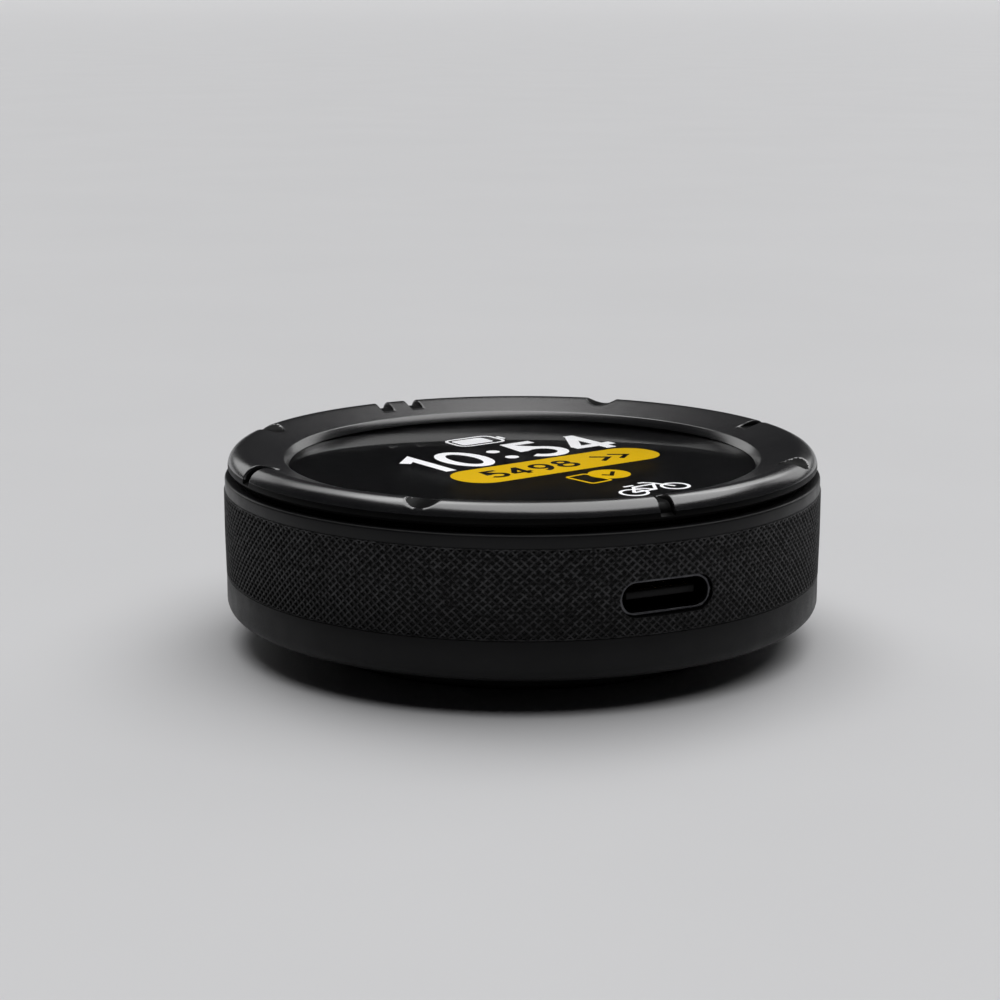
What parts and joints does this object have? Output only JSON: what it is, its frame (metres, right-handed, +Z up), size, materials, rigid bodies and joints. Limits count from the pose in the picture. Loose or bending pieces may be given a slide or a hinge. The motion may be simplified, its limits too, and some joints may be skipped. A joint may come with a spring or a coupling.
{
  "type": "handlebar navigation computer",
  "caption": "Round puck computer with a rocking screen bezel, textured grip band, charging port and twist-lock foot.",
  "frame": {"origin": "centre of the foot's underside, on the surface the part rests on", "axes": "+Z up through the screen, +Y to the top of the screen, the charging port faces -Y"},
  "size_m": [0.056, 0.056, 0.0184],
  "materials": {
    "bezel_metal": "gloss black anodised",
    "lens_glass": "polished, dark tint",
    "display_face": "black screen",
    "housing_plastic": "fine moulded",
    "trim_plastic": "satin black",
    "grip_rubber": "diamond texture",
    "seal_rubber": "matte",
    "cord_seal_rubber": "smooth",
    "pad_rubber": "fine matte",
    "steel": "plain",
    "port_steel": "nickel plated",
    "gimbal_alloy": "machined",
    "board_green": "solder mask",
    "chip_black": "moulded",
    "cell_foil": "laminated foil",
    "foam_grey": "foam",
    "flex_amber": "polyimide film",
    "connector_cream": "moulded",
    "wire_red": "wire insulation"
  },
  "bodies": {
    "case": {"upper_trim_ring": "trim_plastic", "grip_band": "grip_rubber", "main_housing": "housing_plastic", "rocker_seal": "seal_rubber", "rear_case": "trim_plastic", "case_seal": "cord_seal_rubber", "case_screws": "steel", "main_board": "board_green", "board_screws": "steel", "snap_domes": "steel", "processor_chips": "chip_black", "shield_can": "port_steel", "sensor_chips": "chip_black", "sounder": "gimbal_alloy", "display_flex": "flex_amber", "flex_connector": "connector_cream", "battery_cell": "cell_foil", "battery_pad": "foam_grey", "battery_board": "board_green", "battery_leads": "wire_red", "battery_connector": "connector_cream", "usb_shell": "port_steel", "usb_tongue": "chip_black", "port_gasket": "seal_rubber", "mount_base": "housing_plastic", "foot_pad": "pad_rubber", "base_screws": "steel"},
    "gimbal": {"gimbal_ring": "gimbal_alloy", "case_pivot_pins": "steel", "face_pivot_pins": "steel"},
    "face": {"bezel_ring": "bezel_metal", "lens": "lens_glass", "lens_gasket": "seal_rubber", "display_panel": "display_face", "display_cushion": "foam_grey", "face_carrier": "housing_plastic", "carrier_screws": "steel", "press_pads": "seal_rubber"}
  },
  "joints": [
    {"name": "rock_up_down", "type": "hinge", "parent": "case", "child": "gimbal", "pos_m": [0, 0, 0.01305], "axis": [1, 0, 0], "range_deg": [-0.75, 0.75], "stiffness_Nm_per_rad": 2, "deforming": ["rocker_seal", "snap_domes", "display_flex"]},
    {"name": "rock_left_right", "type": "hinge", "parent": "gimbal", "child": "face", "pos_m": [0, 0, 0.01305], "axis": [0, 1, 0], "range_deg": [-0.75, 0.75], "stiffness_Nm_per_rad": 2}
  ]
}
